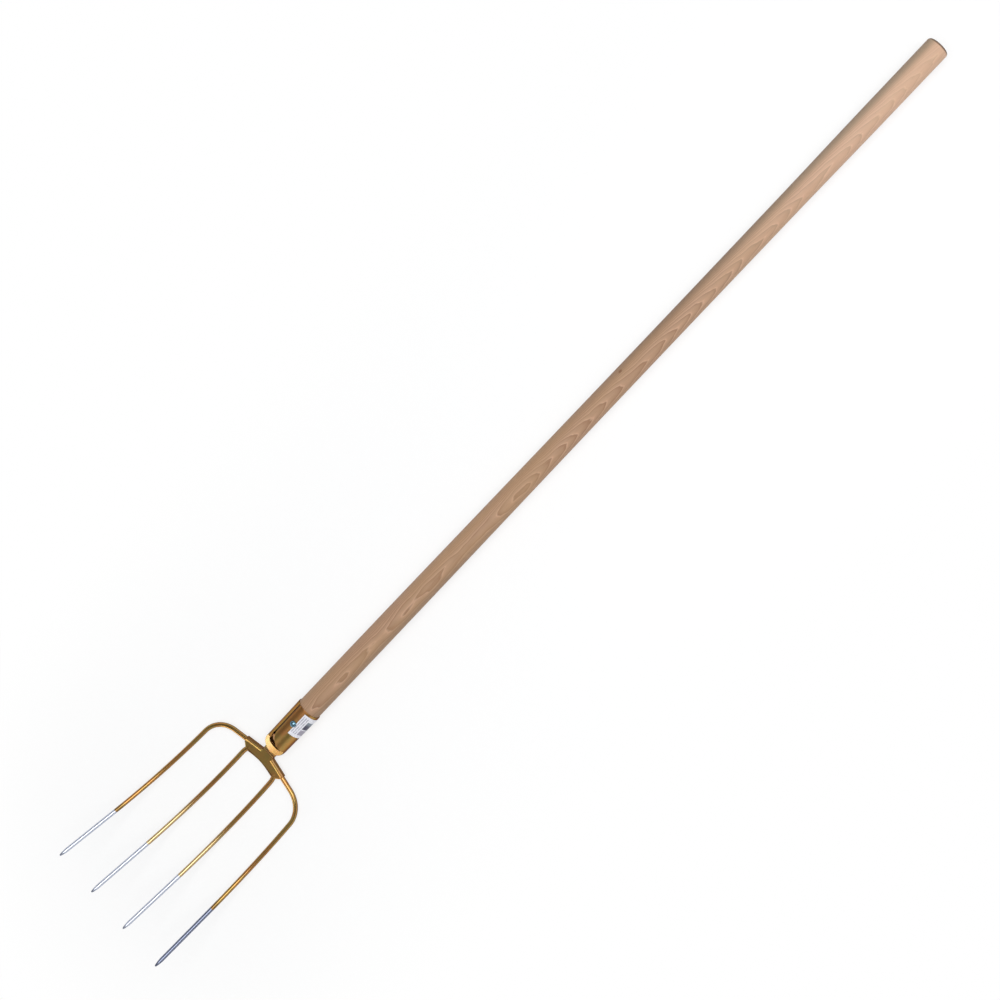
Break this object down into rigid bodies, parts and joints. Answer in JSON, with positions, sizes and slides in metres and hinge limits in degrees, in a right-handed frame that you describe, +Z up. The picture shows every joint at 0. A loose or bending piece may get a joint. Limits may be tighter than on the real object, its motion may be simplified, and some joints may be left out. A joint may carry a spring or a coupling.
{
  "type": "manure fork",
  "caption": "Long handled manure fork: curved round tines on a forged crosshead, a rolled steel socket with an open seam and a turned wooden handle, for lifting and spreading manure and straw.",
  "frame": {"origin": "on the surface that the fork lies on, under the middle of its bounding box", "axes": "+X along the handle towards its top end, the tines at -X; +Y to the side; +Z up, out of the hollow side of the tines"},
  "size_m": [1.722, 0.2286, 0.0941],
  "materials": {
    "wood": "smooth, unvarnished",
    "lacquer": "gold-bronze lacquer, ground bright at the points",
    "zinc": "zinc plated",
    "paper": "printed paper"
  },
  "bodies": {
    "root": {"handle": "wood", "socket": "lacquer", "crosshead": "lacquer", "outer_tine_left": "lacquer", "inner_tine_left": "lacquer", "inner_tine_right": "lacquer", "outer_tine_right": "lacquer", "socket_nail": "zinc", "label": "paper"}
  },
  "joints": []
}
